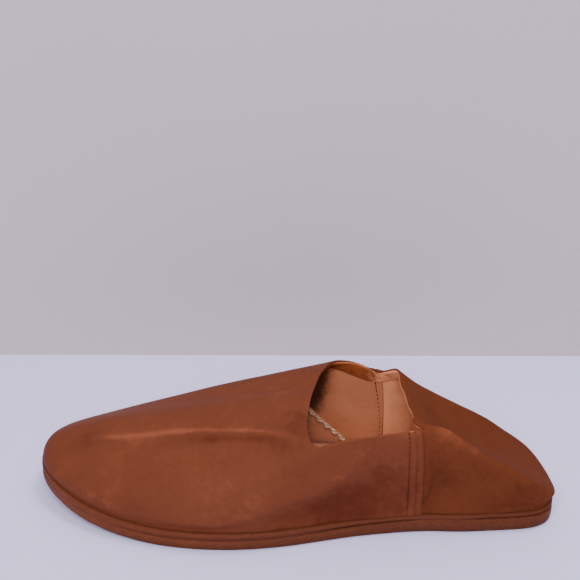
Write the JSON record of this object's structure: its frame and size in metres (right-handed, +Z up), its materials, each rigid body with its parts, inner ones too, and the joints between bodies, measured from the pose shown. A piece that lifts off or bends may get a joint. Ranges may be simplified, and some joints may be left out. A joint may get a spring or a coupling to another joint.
{
  "type": "babouche slipper",
  "caption": "Backless leather slipper with a closed rounded toe, low vamp, trodden-down folded heel and a thin stitched leather sole; left shoe.",
  "frame": {"origin": "bottom centre of the slipper's bounding box, on the floor", "axes": "+Z up, -Y towards the toe, +Y towards the heel, +X towards the outer (lateral) side of this left shoe"},
  "size_m": [0.0928, 0.2604, 0.0629],
  "materials": {
    "sole_leather": "burnished sole leather edge, waxed",
    "midsole_leather": "welt leather, waxed",
    "upper_leather": "soft full-grain leather, satin",
    "lining_leather": "unfinished lining leather, matt",
    "thread": "waxed hand-sewing thread"
  },
  "bodies": {
    "root": {"outsole": "sole_leather", "midsole": "midsole_leather", "insole": "lining_leather", "upper": "upper_leather"}
  },
  "joints": []
}
